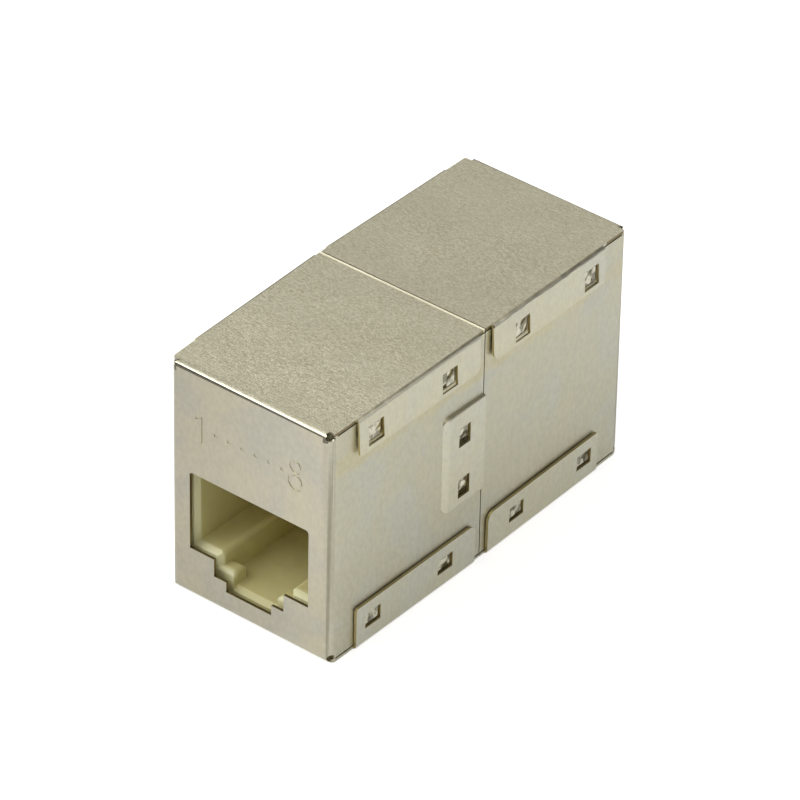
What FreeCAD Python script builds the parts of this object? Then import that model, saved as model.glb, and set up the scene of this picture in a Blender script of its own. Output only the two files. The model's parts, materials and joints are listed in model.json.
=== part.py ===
import FreeCAD, Part
import math
import os

import Sketcher
from FreeCAD import Placement, Rotation, Vector

# Inline coupler for eight-pole modular plugs.
#
# Two folded sheet shields of one pattern meet at a seam half way along. Each holds a moulded
# jack housing with a contact carrier and eight spring wires, and the wires of both jacks are
# soldered into one board that stands between the housings. The second half is the first one
# turned half way round about Z, so every shape is made once in the frame of its own half:
# the port face lies at y = 0, +Y runs in towards the board and Z = 0 is the underside.
#
# In the finished part the front port faces -Y, Z is up and the origin is at the middle of the
# underside.

CONTACTS = 8

# The driving dimensions, in millimetres: name, value, what it measures. Heights given from the
# foot are measured up from the underside.
SIZES = [
    # Folded shield
    ("body_width", 16.2, "over the side panels at the port face"),
    ("body_height", 22.1, "over the top and bottom panels at the port face"),
    ("half_length", 18.7, "port face to the open edge at the seam"),
    ("seam_gap", 0.1, "between the two shields"),
    ("sheet", 0.25, "thickness of the plated steel"),
    ("flare", 0.19, "how far the side and top panels lean out by the seam"),
    ("side_bend", 0.9, "outer radius, port face to side panel"),
    ("foot_bend", 0.9, "outer radius, port face to bottom panel"),
    ("top_bend", 0.45, "outer radius, port face to top panel"),
    ("panel_gap", 0.14, "between a side panel and the panel folded over it"),
    ("corner_round", 1.2, "radius of the port face's upper corners"),
    ("corner_depth", 0.6, "how far in from the port face they are rounded"),
    ("relief_radius", 0.3, "round relief where three folds meet"),
    ("relief_reach", 0.7, "relief in from the side panel"),
    ("top_relief_inset", 0.36, "relief centre in from port face and top panel"),
    ("foot_relief_inset", 0.5, "relief centre in from port face and bottom panel"),
    # Flaps folded down and up over the side panels
    ("flap_gap", 0.04, "between flap and side panel"),
    ("top_flap_spring", 0.16, "how much further a top flap's free edge stands off"),
    ("foot_flap_spring", 0.05, "how much further a bottom flap's free edge stands off"),
    ("flap_fold", 0.36, "outer radius of the flap's fold"),
    ("flap_root", 1.0, "flap's hold on its panel"),
    ("flap_corner", 0.8, "radius of a flap's free corner at the seam end"),
    ("flap_nick", 0.25, "radius of a flap's free corner at the port end"),
    ("top_flap_drop", 3.35, "height of a top flap"),
    ("foot_flap_rise", 3.95, "height of a bottom flap"),
    ("right_flap_start", 3.05, "port face to the right flaps"),
    ("right_flap_end", 17.8, "port face to the far end of the right flaps"),
    ("left_flap_start", 3.5, "port face to the left flaps"),
    ("left_flap_end", 18.05, "port face to the far end of the left flaps"),
    # Snap windows in the flaps and the lanced bumps that sit in them
    ("window_length", 1.85, "window along Y"),
    ("top_window_height", 1.85, "window in a top flap along Z"),
    ("top_window_inset", 1.05, "top panel down to the window"),
    ("foot_window_height", 1.42, "window in a bottom flap along Z"),
    ("foot_window_inset", 1.5, "bottom panel up to the window"),
    ("right_window_first", 4.15, "port face to the first right window"),
    ("right_window_second", 13.1, "port face to the second right window"),
    ("left_window_first", 4.4, "port face to the first left window"),
    ("left_window_second", 13.4, "port face to the second left window"),
    ("bump_side_gap", 0.13, "window edge to bump along Y"),
    ("bump_top_gap", 0.11, "window edge down to the bump"),
    ("bump_slit", 0.22, "open slit under a bump"),
    ("bump_recess", 0.09, "bump face in from the flap face"),
    ("bump_round", 0.14, "radius round the bump face"),
    # Raised pocket on the right panel and the tongue that slides under it from the other half
    ("pocket_start", 5.0, "seam edge back to the pocket's start"),
    ("pocket_low", 6.95, "foot to the pocket's lower edge"),
    ("pocket_high", 16.15, "foot to the pocket's upper edge"),
    ("pocket_corner", 0.75, "radius of the pocket's corners"),
    ("pocket_ramp", 0.55, "width of the slope from the panel up to the pocket's face"),
    ("pocket_round", 0.22, "radius round the pocket's face"),
    ("tongue_length", 3.6, "tongue beyond the seam edge"),
    ("tongue_gap", 0.06, "tongue to pocket, across the sheet"),
    ("tongue_side_gap", 0.15, "tongue to pocket, along Z"),
    ("tongue_corner", 0.6, "radius of the tongue's corners"),
    ("catch_start", 3.3, "seam edge back to the start of the pocket's windows"),
    ("catch_length", 1.42, "pocket window along Y"),
    ("catch_height", 1.82, "pocket window along Z"),
    ("catch_low", 7.8, "foot to the lower pocket window"),
    ("catch_high", 12.75, "foot to the upper pocket window"),
    ("catch_slit", 0.6, "open slit under a tongue bump"),
    # Port opening in the sheet
    ("port_width", 12.05, "opening across the plug"),
    ("port_floor", 4.8, "foot to the edge at the ledges"),
    ("port_ceiling", 12.2, "foot to the top of the opening"),
    ("port_corner", 0.3, "radius of the upper corners"),
    ("latch_width", 7.1, "step for the plug's latch"),
    ("latch_floor", 3.15, "foot to the latch step"),
    ("key_width", 4.6, "narrow step below it"),
    ("key_floor", 2.2, "foot to the narrow step"),
    # Pin order stamped over the port
    ("mark_depth", 0.06, "stamping into the sheet"),
    ("mark_stroke", 0.22, "width of a stroke"),
    ("mark_lower_ring", 0.78, "outer radius of the lower ring of the 8"),
    ("mark_upper_ring", 0.64, "outer radius of the upper ring of the 8"),
    ("mark_ring_gap", 0.05, "between the two rings"),
    ("mark_serif", 0.6, "reach of the 1's serif, out and down"),
    ("mark_base", 15.5, "foot to the base of the figures"),
    ("mark_span", 9.4, "first figure to last"),
    ("mark_pip", 0.2, "radius of a pip between them"),
    # Moulded jack housing
    ("housing_gap", 0.06, "housing to the shield's side, top and bottom panels"),
    ("front_gap", 0.6, "housing to the port face's sheet"),
    ("cavity_width", 11.9, "inside width for the plug"),
    ("cavity_depth", 11.85, "cavity's mouth to the plug stop"),
    ("ledge_height", 4.9, "foot to the ledges beside the latch"),
    ("cavity_ceiling", 12.1, "foot to the cavity's ceiling"),
    ("channel_width", 7.0, "latch channel between the ledges"),
    ("channel_floor", 2.3, "foot to the channel's floor"),
    ("ledge_round", 0.45, "radius of the ledges' edges over the channel"),
    ("mouth_flare", 0.4, "how much the cavity widens on each side at its mouth"),
    ("mouth_depth", 0.4, "cavity's mouth to the end of that widening"),
    ("nub_width", 1.25, "latch stop from the channel's side"),
    ("nub_height", 1.3, "latch stop above the channel's floor"),
    ("nub_depth", 1.5, "latch stop along Y"),
    ("nub_round", 0.4, "radius of the latch stop's edges"),
    ("comb_depth", 1.6, "slots for the wire tips behind the plug stop"),
    ("comb_low", 8.1, "foot to the slots"),
    ("bay_start", 2.3, "port face to the carrier bay"),
    ("bay_width", 11.2, "carrier bay along X"),
    ("bay_floor", 12.55, "foot to the bay's floor"),
    ("window_margin", 0.3, "ceiling window beyond the outer grooves"),
    ("tail_room_height", 1.4, "room above the carrier for the upper tails"),
    ("tail_room_depth", 1.8, "that room from the housing's rear"),
    ("core_floor", 18.2, "foot to the hollow above the bay"),
    ("core_height", 2.1, "hollow above the bay along Z"),
    ("core_width", 9.2, "hollow above the bay along X"),
    ("core_start", 2.6, "port face to that hollow"),
    ("peg_radius", 0.8, "locating peg for the board"),
    ("peg_length", 1.2, "peg beyond the housing's rear"),
    ("peg_side", 6.2, "middle plane to the pegs"),
    ("peg_low", 3.4, "foot to the lower peg"),
    ("peg_high", 19.5, "foot to the upper peg"),
    # Contact carrier
    ("carrier_gap", 0.05, "carrier to housing and board"),
    ("carrier_height", 2.9, "carrier along Z"),
    ("carrier_nose", 3.1, "port face to the carrier's nose"),
    ("carrier_nose_round", 0.5, "radius of the nose's edges"),
    ("carrier_back_room", 1.5, "carrier's middle short of the housing's rear"),
    ("groove_width", 0.5, "groove for a wire"),
    ("groove_depth", 0.9, "groove below the carrier's top"),
    ("rail_width", 0.75, "side rail that reaches the board"),
    # Spring wires
    ("pitch", 1.02, "wire to wire"),
    ("wire_width", 0.35, "wire along X"),
    ("wire_thickness", 0.25, "wire across its bends"),
    ("wire_groove_gap", 0.1, "wire above the groove's floor"),
    ("wire_nose_gap", 0.15, "wire in front of the carrier's nose"),
    ("wire_turn_height", 12.05, "foot to the corner below the nose"),
    ("wire_tip", 13.4, "port face to the wire's tip"),
    ("wire_tip_height", 8.9, "foot to the wire's tip"),
    ("wire_tip_flat", 1.2, "level end of the spring"),
    ("wire_bend", 0.45, "radius at the middle of a bend"),
    ("tail_step", 1.5, "upper tail row above the lower one"),
    ("tail_bend_room", 0.75, "board to the upward step of a tail"),
    ("tail_end", 0.35, "tail beyond the board"),
    # Board
    ("board_thickness", 1.6, "board along Y"),
    ("board_width", 15.0, "board along X"),
    ("board_low", 1.2, "foot to the board's lower edge"),
    ("board_high", 20.8, "foot to the board's upper edge"),
    ("board_corner", 1.0, "radius of the board's corners"),
    ("board_gap", 0.05, "board to housing"),
    ("tail_hole_radius", 0.34, "plated hole for a tail"),
    ("peg_hole_gap", 0.05, "peg to its hole"),
]

X_AXIS = Vector(1, 0, 0)
Y_AXIS = Vector(0, 1, 0)
Z_AXIS = Vector(0, 0, 1)

# How far a cut runs on past the sheet or block that it goes through, and how far a raised
# feature starts inside its base.
BEYOND = 1.0
# How close an edge must lie to a plane to belong to it.
NEAR = 0.02


class Size:
    """A length as a number and as the expression over the sheet that gives it."""

    def __init__(self, value, text):
        self.value = value
        self.text = text

    def __add__(self, other):
        other = as_size(other)
        return Size(self.value + other.value, f"({self.text} + {other.text})")

    def __sub__(self, other):
        other = as_size(other)
        return Size(self.value - other.value, f"({self.text} - {other.text})")

    def __mul__(self, other):
        other = as_size(other)
        return Size(self.value * other.value, f"({self.text} * {other.text})")

    def __truediv__(self, other):
        other = as_size(other)
        return Size(self.value / other.value, f"({self.text} / {other.text})")

    def __neg__(self):
        return Size(-self.value, f"(-1 * {self.text})")

    def __radd__(self, other):
        return as_size(other) + self

    def __rsub__(self, other):
        return as_size(other) - self

    def __rmul__(self, other):
        return as_size(other) * self


def as_size(value):
    """A plain number as a Size."""
    return value if isinstance(value, Size) else Size(float(value), repr(float(value)))


def arc_tangent(ratio):
    """The angle in degrees whose tangent is a Size."""
    return Size(math.degrees(math.atan(ratio.value)), f"atan({ratio.text})")


class Dimensions:
    """The spreadsheet, with each of its cells as an attribute that is a Size, and the lengths
    that several pieces share."""

    def __init__(self, doc):
        cells = doc.addObject("Spreadsheet::Sheet", "Sizes")
        for row, (name, value, note) in enumerate(SIZES, start=1):
            cells.set(f"A{row}", name)
            cells.set(f"B{row}", str(value))
            cells.set(f"C{row}", note)
            cells.setAlias(f"B{row}", name)
            setattr(self, name, Size(value, f"Sizes.{name}"))
        self.half_width = self.body_width / 2
        # What a leaning panel gains for each millimetre along Y, and its angle.
        self.slope = self.flare / self.half_length
        self.lean = arc_tangent(self.slope)
        self.seam_half_width = self.half_width + self.flare
        self.middle = self.half_length + self.seam_gap / 2
        self.pocket_place = self.half_length - self.pocket_start
        self.catch_place = self.half_length - self.catch_start
        self.board_face = self.middle - self.board_thickness / 2
        self.housing_front = self.sheet + self.front_gap
        self.housing_rear = self.board_face - self.board_gap
        self.bay_top = self.bay_floor + self.carrier_height + 2 * self.carrier_gap
        self.carrier_base = self.bay_floor + self.carrier_gap
        self.carrier_top = self.carrier_base + self.carrier_height
        groove_floor = self.carrier_top - self.groove_depth
        self.run_height = groove_floor + self.wire_groove_gap + self.wire_thickness / 2
        self.row_width = (CONTACTS - 1) * self.pitch + self.groove_width + 2 * self.window_margin

    def contact_place(self, number):
        """A wire's distance from the middle plane; number 1 is at -X in its own half."""
        return (number - (CONTACTS + 1) / 2) * self.pitch


def bind(feature, name, size):
    """Drive one property of a feature from the sheet."""
    feature.setExpression(name, as_size(size).text)


# Sketches

def new_body(doc, name):
    """A body whose label is its node's name."""
    body = doc.addObject("PartDesign::Body", name)
    body.Label = name
    return body


def new_sketch(body, name, role, offset=0, tilt=None, tilt_axis=None):
    """A sketch on one of the body's origin planes, moved along the plane's normal by offset and
    turned by tilt degrees about an axis of the sketch."""
    plane = next(item for item in body.Origin.OriginFeatures if item.Role == role)
    sketch = body.newObject("Sketcher::SketchObject", f"{body.Name}_{name}")
    sketch.AttachmentSupport = [(plane, "")]
    sketch.MapMode = "FlatFace"
    turn = Rotation(tilt_axis, tilt.value) if tilt else Rotation()
    sketch.AttachmentOffset = Placement(Vector(0, 0, as_size(offset).value), turn)
    bind(sketch, "AttachmentOffset.Base.z", offset)
    if tilt:
        bind(sketch, "AttachmentOffset.Rotation.Angle", tilt)
    return sketch


def plan_sketch(body, name, height=0):
    """A sketch seen from above: its axes are X and Y."""
    return new_sketch(body, name, "XY_Plane", height)


def face_sketch(body, name, depth=0):
    """A sketch seen from the port, at a depth along Y: its axes are X and Z."""
    return new_sketch(body, name, "XZ_Plane", -as_size(depth))


def side_sketch(body, name, place=0):
    """A sketch seen from +X, at a place along X: its axes are Y and Z."""
    return new_sketch(body, name, "YZ_Plane", place)


def panel_sketch(body, d, name, side, outwards):
    """A sketch that leans with a side panel, a distance outwards of its face."""
    place = side * (d.half_width + outwards)
    return new_sketch(body, name, "YZ_Plane", place, d.lean, Vector(0, -side, 0))


def constrain(sketch, kind, *arguments):
    """Add one constraint; where its last argument is a Size the sheet drives it."""
    size = arguments[-1] if isinstance(arguments[-1], Size) else None
    if size:
        arguments = arguments[:-1] + (size.value,)
    index = sketch.addConstraint(Sketcher.Constraint(kind, *arguments))
    if size:
        sketch.setExpression(f"Constraints[{index}]", size.text)


def fix_point(sketch, geometry, position, point):
    """Hold one point at its distances from the sketch's origin."""
    constrain(sketch, "DistanceX", -1, 1, geometry, position, as_size(point[0]))
    constrain(sketch, "DistanceY", -1, 1, geometry, position, as_size(point[1]))


def corner_arc(corner, entry, leave, radius):
    """The arc that rounds a corner, and whether it turns left from entry to leave."""
    inward = ((entry + leave) * 0.5 - corner).normalize()
    half = (entry - corner).getAngle(leave - corner) / 2
    centre = corner + inward * (radius / math.sin(half))
    start = entry - centre
    end = leave - centre
    turns_left = start.x * end.y - start.y * end.x > 0
    first, last = (start, end) if turns_left else (end, start)
    circle = Part.Circle(centre, Z_AXIS, radius)
    arc = Part.ArcOfCircle(circle, math.atan2(first.y, first.x), math.atan2(last.y, last.x))
    return arc, turns_left


def outline(sketch, points, closed=True):
    """Straight lines through the points. A point is (x, y) or (x, y, radius), where the corner
    is an arc tangent to its two lines."""
    corners = [Vector(as_size(point[0]).value, as_size(point[1]).value) for point in points]
    radii = [point[2] if len(point) > 2 else None for point in points]
    count = len(points)
    entry = list(corners)
    leave = list(corners)
    for i, radius in enumerate(radii):
        if radius:
            before = (corners[i - 1] - corners[i]).normalize()
            after = (corners[(i + 1) % count] - corners[i]).normalize()
            reach = radius.value / math.tan(before.getAngle(after) / 2)
            entry[i] = corners[i] + before * reach
            leave[i] = corners[i] + after * reach
    sides = count if closed else count - 1
    lines = []
    for i in range(sides):
        line = Part.LineSegment(leave[i], entry[(i + 1) % count])
        lines.append(sketch.addGeometry(line, False))
    for i in range(count):
        first = lines[i - 1] if closed or i > 0 else None
        second = lines[i] if i < sides else None
        if radii[i]:
            arc, turns_left = corner_arc(corners[i], entry[i], leave[i], radii[i].value)
            curve = sketch.addGeometry(arc, False)
            corner = sketch.addGeometry(Part.Point(corners[i]), True)
            fix_point(sketch, corner, 1, points[i])
            constrain(sketch, "PointOnObject", corner, 1, first)
            constrain(sketch, "PointOnObject", corner, 1, second)
            constrain(sketch, "Tangent", first, 2, curve, 1 if turns_left else 2)
            constrain(sketch, "Tangent", second, 1, curve, 2 if turns_left else 1)
            constrain(sketch, "Radius", curve, radii[i])
        elif second is None:
            fix_point(sketch, first, 2, points[i])
        else:
            fix_point(sketch, second, 1, points[i])
            if first is not None:
                constrain(sketch, "Coincident", first, 2, second, 1)


def rectangle(sketch, left, right, low, high, radius=None):
    """An upright rectangle, with its four corners rounded where a radius is given."""
    rounding = (radius,) if radius else ()
    corners = [(left, low), (right, low), (right, high), (left, high)]
    outline(sketch, [corner + rounding for corner in corners])


def circle(sketch, x, y, radius):
    """A circle held by its centre and radius."""
    centre = Vector(as_size(x).value, as_size(y).value)
    index = sketch.addGeometry(Part.Circle(centre, Z_AXIS, radius.value), False)
    fix_point(sketch, index, 3, (x, y))
    constrain(sketch, "Radius", index, radius)


# Features

def pad(body, sketch, length, reverse=False, symmetric=False, direction=None):
    """Add the sketch as a prism along its normal, or along a direction of its own."""
    feature = body.newObject("PartDesign::Pad", sketch.Name + "_pad")
    feature.Profile = sketch
    feature.Length = as_size(length).value
    bind(feature, "Length", length)
    feature.Reversed = reverse
    if symmetric:
        feature.SideType = "Symmetric"
    if direction:
        feature.UseCustomVector = True
        feature.AlongSketchNormal = True
        feature.Direction = Vector(*(as_size(part).value for part in direction))
        for axis, amount in zip("xyz", direction):
            bind(feature, f"Direction.{axis}", amount)
    return feature


def pocket(body, sketch, length=None, reverse=False, symmetric=False):
    """Cut the sketch away, against its normal unless reversed, to a length or right through."""
    feature = body.newObject("PartDesign::Pocket", sketch.Name + "_pocket")
    feature.Profile = sketch
    feature.Reversed = reverse
    if symmetric:
        feature.SideType = "Symmetric"
    if length is None:
        feature.Type = "ThroughAll"
    else:
        feature.Length = as_size(length).value
        bind(feature, "Length", length)
    return feature


def round_edges(body, name, radius, test):
    """Fillet the edges of the body so far that pass the test."""
    body.Document.recompute()
    base = body.Tip
    names = [f"Edge{i}" for i, edge in enumerate(base.Shape.Edges, start=1) if test(edge)]
    if not names:
        raise RuntimeError(f"{body.Name}: no edges for {name}")
    feature = body.newObject("PartDesign::Fillet", f"{body.Name}_{name}")
    feature.Base = (base, names)
    feature.Radius = radius.value
    bind(feature, "Radius", radius)
    return feature


def runs_along(edge, axis):
    """Whether an edge is a straight line nearly along an axis."""
    if edge.Curve.TypeId != "Part::GeomLine":
        return False
    direction = edge.Vertexes[-1].Point - edge.Vertexes[0].Point
    return abs(direction.normalize().dot(axis)) > 0.99


def near(value, size):
    """Whether a coordinate is a given size, but for what a panel's lean shifts."""
    return abs(value - as_size(size).value) < NEAR


# Folded shield

def folded_box(body, d, inset, front, flare, far):
    """The box that a shield wraps, inset from its outer skin on four sides and reaching from
    front to far along Y, where its sides and top lean out by flare over the length of a half."""
    half_width = d.half_width - inset
    roof = d.body_height - inset
    slope = flare / d.half_length
    spread = slope * (far - front)
    plan = plan_sketch(body, "plan")
    outline(plan, [
        (-half_width, front),
        (half_width, front),
        (half_width + spread, far),
        (-half_width - spread, far),
    ])
    pad(body, plan, d.body_height + flare)
    round_edges(body, "side_bends", d.side_bend - inset,
                lambda edge: runs_along(edge, Z_AXIS) and near(edge.CenterOfMass.y, front))
    profile = side_sketch(body, "profile")
    beyond = far + BEYOND
    rectangle(profile, -BEYOND, beyond + BEYOND, -BEYOND, d.body_height + flare + BEYOND)
    outline(profile, [
        (front, inset, d.foot_bend - inset),
        (beyond, inset),
        (beyond, roof + slope * beyond),
        (front, roof, d.top_bend - inset),
    ])
    pocket(body, profile, symmetric=True)


def hollow_shield(body, core, d):
    """The sheet itself: the outer box less the box inside it."""
    folded_box(body, d, as_size(0), as_size(0), d.flare, d.half_length)
    folded_box(core, d, d.sheet, d.sheet, d.flare, d.half_length + BEYOND)
    hollow = body.newObject("PartDesign::Boolean", f"{body.Name}_hollow")
    hollow.Type = "Cut"
    hollow.Group = [core]


def cut_port(body, d):
    """The stepped opening for plug and latch."""
    port = d.port_width / 2
    latch = d.latch_width / 2
    key = d.key_width / 2
    sketch = face_sketch(body, "port")
    outline(sketch, [
        (-port, d.port_floor),
        (-latch, d.port_floor),
        (-latch, d.latch_floor),
        (-key, d.latch_floor),
        (-key, d.key_floor),
        (key, d.key_floor),
        (key, d.latch_floor),
        (latch, d.latch_floor),
        (latch, d.port_floor),
        (port, d.port_floor),
        (port, d.port_ceiling, d.port_corner),
        (-port, d.port_ceiling, d.port_corner),
    ])
    pocket(body, sketch, 2 * d.sheet)


def cut_panel_gaps(body, d):
    """Part the side panels from the panels folded over and under them."""
    ceiling = d.body_height - d.sheet
    start = d.side_bend
    far = d.half_length + BEYOND
    gaps = side_sketch(body, "gaps")
    outline(gaps, [
        (start, ceiling + d.slope * start - d.panel_gap),
        (far, ceiling + d.slope * far - d.panel_gap),
        (far, ceiling + d.slope * far),
        (start, ceiling + d.slope * start),
    ])
    rectangle(gaps, start, far, d.sheet, d.sheet + d.panel_gap)
    pocket(body, gaps, symmetric=True)


def round_corners(body, d):
    """Round off the port face's two upper corners. The cut keeps clear of the leaning panels."""
    high = d.body_height + d.housing_gap
    wide = d.half_width + d.housing_gap
    low = d.body_height - d.corner_round - BEYOND
    narrow = d.half_width - d.corner_round - BEYOND
    corners = face_sketch(body, "corners", -BEYOND)
    for side in (-1, 1):
        outline(corners, [
            (side * narrow, high),
            (side * wide, high, d.corner_round),
            (side * wide, low),
            (side * (wide + BEYOND), low),
            (side * (wide + BEYOND), high + BEYOND),
            (side * narrow, high + BEYOND),
        ])
    pocket(body, corners, BEYOND + d.corner_depth)


def cut_reliefs(body, d):
    """Round holes at the port face's four corners, in from the side panels."""
    for side, label in ((-1, "left"), (1, "right")):
        reliefs = side_sketch(body, f"{label}_reliefs", side * (d.half_width - d.relief_reach))
        circle(reliefs, d.top_relief_inset, d.body_height - d.top_relief_inset, d.relief_radius)
        circle(reliefs, d.foot_relief_inset, d.foot_relief_inset, d.relief_radius)
        pocket(body, reliefs, BEYOND + d.relief_reach, reverse=side > 0)


def add_pocket(body, d):
    """The raised pocket on the right panel, open at the seam, with its two windows."""
    inner = d.seam_half_width + d.tongue_gap
    raised = side_sketch(body, "raised", d.half_width)
    outline(raised, [
        (d.pocket_place, d.pocket_low, d.pocket_corner),
        (d.half_length, d.pocket_low),
        (d.half_length, d.pocket_high),
        (d.pocket_place, d.pocket_high, d.pocket_corner),
    ])
    pad(body, raised, inner + d.sheet - d.half_width)
    face = inner + d.sheet
    ramp = plan_sketch(body, "ramp", d.pocket_low - d.sheet)
    outline(ramp, [
        (d.half_width + d.slope * d.pocket_place, d.pocket_place),
        (face, d.pocket_place + d.pocket_ramp),
        (face + BEYOND, d.pocket_place + d.pocket_ramp),
        (face + BEYOND, d.pocket_place),
    ])
    pocket(body, ramp, d.pocket_high - d.pocket_low + 2 * d.sheet, reverse=True)
    round_edges(body, "pocket_edges", d.pocket_round,
                lambda edge: near(edge.BoundBox.XMin, face) and near(edge.BoundBox.XMax, face)
                and not near(edge.BoundBox.YMin, d.half_length))
    inside = side_sketch(body, "inside", inner)
    outline(inside, [
        (d.pocket_place + d.pocket_ramp, d.pocket_low + d.sheet, d.pocket_corner - d.sheet),
        (d.half_length + BEYOND, d.pocket_low + d.sheet),
        (d.half_length + BEYOND, d.pocket_high - d.sheet),
        (d.pocket_place + d.pocket_ramp, d.pocket_high - d.sheet, d.pocket_corner - d.sheet),
    ])
    pocket(body, inside, BEYOND + d.sheet)
    windows = side_sketch(body, "catches", inner - d.tongue_gap / 2)
    for low in (d.catch_low, d.catch_high):
        rectangle(windows, d.catch_place, d.catch_place + d.catch_length,
                  low, low + d.catch_height)
    pocket(body, windows, BEYOND, reverse=True)


def add_tongue(body, d):
    """The tongue on the left panel that reaches under the other half's pocket, with the two
    bumps that sit in its windows."""
    low = d.pocket_low + d.sheet + d.tongue_side_gap
    high = d.pocket_high - d.sheet - d.tongue_side_gap
    end = d.half_length + d.tongue_length
    tongue = side_sketch(body, "tongue", -d.seam_half_width)
    outline(tongue, [
        (d.half_length - d.sheet, low),
        (end, low, d.tongue_corner),
        (end, high, d.tongue_corner),
        (d.half_length - d.sheet, high),
    ])
    pad(body, tongue, d.sheet)
    # The windows of the other half, seen in this half's frame.
    start = 2 * d.middle - d.catch_place - d.catch_length + d.bump_side_gap
    stop = 2 * d.middle - d.catch_place - d.bump_side_gap
    slits = side_sketch(body, "tongue_slits", -d.seam_half_width - d.tongue_gap / 2)
    bumps = side_sketch(body, "tongue_bumps", -d.seam_half_width + d.sheet / 2)
    for foot in (d.catch_low, d.catch_high):
        rectangle(slits, start, stop, foot, foot + d.catch_slit)
        rectangle(bumps, start, stop, foot + d.catch_slit, foot + d.catch_height - d.bump_top_gap)
    pocket(body, slits, BEYOND, reverse=True)
    rise = d.tongue_gap + d.sheet - d.bump_recess
    pad(body, bumps, rise + d.sheet / 2, reverse=True)
    face = -(d.seam_half_width + rise)
    round_edges(body, "tongue_bump_edges", d.bump_round,
                lambda edge: near(edge.BoundBox.XMin, face) and near(edge.BoundBox.XMax, face))


def add_flap(body, d, name, side, start, end, top):
    """One flap: its fold out of the top or bottom panel and its leaf over the side panel."""
    edge = d.half_width + d.slope * start
    root = edge - d.flap_root
    leaf_in = edge + d.flap_gap
    leaf_out = leaf_in + d.sheet
    if top:
        outer = d.body_height + d.slope * start
        inner = outer - d.sheet
        free = outer - d.top_flap_drop
        spring = d.top_flap_spring
    else:
        outer = as_size(0)
        inner = d.sheet
        free = d.foot_flap_rise
        spring = d.foot_flap_spring
    section = face_sketch(body, name, start)
    outline(section, [
        (side * root, outer),
        (side * leaf_out, outer, d.flap_fold),
        (side * (leaf_out + spring), free),
        (side * (leaf_in + spring), free),
        (side * leaf_in, inner),
        (side * root, inner),
    ])
    lean = (side * d.slope, as_size(1), d.slope if top else as_size(0))
    pad(body, section, end - start, direction=lean)
    end_free = free + (d.slope * (end - start) if top else 0)
    for tag, place, height, radius in (
        ("corner", end, end_free, d.flap_corner),
        ("nick", start, free, d.flap_nick),
    ):
        round_edges(body, f"{name}_{tag}", radius,
                    lambda item: runs_along(item, X_AXIS)
                    and item.Length < 2 * d.sheet.value
                    and side * item.CenterOfMass.x > d.half_width.value
                    and near(item.CenterOfMass.y, place)
                    and near(item.CenterOfMass.z, height))


def add_snaps(body, d, name, side, first, second):
    """The windows in one side's flaps, the bumps lanced out of the panel into them, and the
    open slit that the lancing leaves under each bump."""
    top_high = d.body_height - d.top_window_inset
    top_low = top_high - d.top_window_height
    foot_low = d.foot_window_inset
    foot_high = foot_low + d.foot_window_height
    windows = panel_sketch(body, d, f"{name}_windows", side, d.flap_gap / 2)
    slits = panel_sketch(body, d, f"{name}_slits", side, d.flap_gap / 2)
    bumps = panel_sketch(body, d, f"{name}_bumps", side, -d.sheet / 2)
    for start in (first, second):
        stop = start + d.window_length
        bump_start = start + d.bump_side_gap
        bump_stop = stop - d.bump_side_gap
        for low, high in ((top_low, top_high), (foot_low, foot_high)):
            rectangle(windows, start, stop, low, high)
            rectangle(slits, bump_start, bump_stop, low, low + d.bump_slit)
            rectangle(bumps, bump_start, bump_stop, low + d.bump_slit, high - d.bump_top_gap)
    outwards = side > 0
    pocket(body, windows, BEYOND, reverse=outwards)
    pocket(body, slits, BEYOND, reverse=not outwards)
    rise = d.flap_gap + d.sheet - d.bump_recess
    pad(body, bumps, rise + d.sheet / 2, reverse=not outwards)

    def on_bump_face(edge):
        """Whether an edge lies on the faces of these bumps."""
        return all(
            near(side * vertex.X, d.half_width + d.slope * vertex.Y + rise)
            for vertex in edge.Vertexes
        )

    round_edges(body, f"{name}_bump_edges", d.bump_round, on_bump_face)


def stamp_marks(body, d):
    """The pin order over the port: a 1, a row of pips and an 8, stamped into the sheet."""
    base = d.mark_base
    waist = base + 2 * d.mark_lower_ring
    top = waist + d.mark_ring_gap + 2 * d.mark_upper_ring
    first = -d.mark_span / 2
    left = first - d.mark_stroke / 2
    right = first + d.mark_stroke / 2
    sketch = face_sketch(body, "marks")
    outline(sketch, [
        (left, base),
        (right, base),
        (right, top),
        (left, top),
        (left - d.mark_serif, top - d.mark_serif),
        (left - d.mark_serif, top - d.mark_serif - d.mark_stroke),
        (left, top - 2 * d.mark_stroke),
    ])
    last = d.mark_span / 2
    for centre, radius in (
        (base + d.mark_lower_ring, d.mark_lower_ring),
        (top - d.mark_upper_ring, d.mark_upper_ring),
    ):
        circle(sketch, last, centre, radius)
        circle(sketch, last, centre, radius - d.mark_stroke)
    for number in range(1, CONTACTS - 1):
        place = first + d.mark_span * number / (CONTACTS - 1)
        circle(sketch, place, (base + top) / 2, d.mark_pip)
    pocket(body, sketch, d.mark_depth)


def build_shield(doc, d, name):
    """One folded half of the shield."""
    body = new_body(doc, name)
    hollow_shield(body, new_body(doc, f"{name}_core"), d)
    cut_port(body, d)
    cut_panel_gaps(body, d)
    round_corners(body, d)
    cut_reliefs(body, d)
    add_pocket(body, d)
    add_tongue(body, d)
    sides = (
        ("right", 1, d.right_flap_start, d.right_flap_end,
         d.right_window_first, d.right_window_second),
        ("left", -1, d.left_flap_start, d.left_flap_end,
         d.left_window_first, d.left_window_second),
    )
    for label, side, start, end, first, second in sides:
        add_flap(body, d, f"{label}_top_flap", side, start, end, top=True)
        add_flap(body, d, f"{label}_foot_flap", side, start, end, top=False)
        add_snaps(body, d, label, side, first, second)
    stamp_marks(body, d)
    return body


# Jack housing

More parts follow.
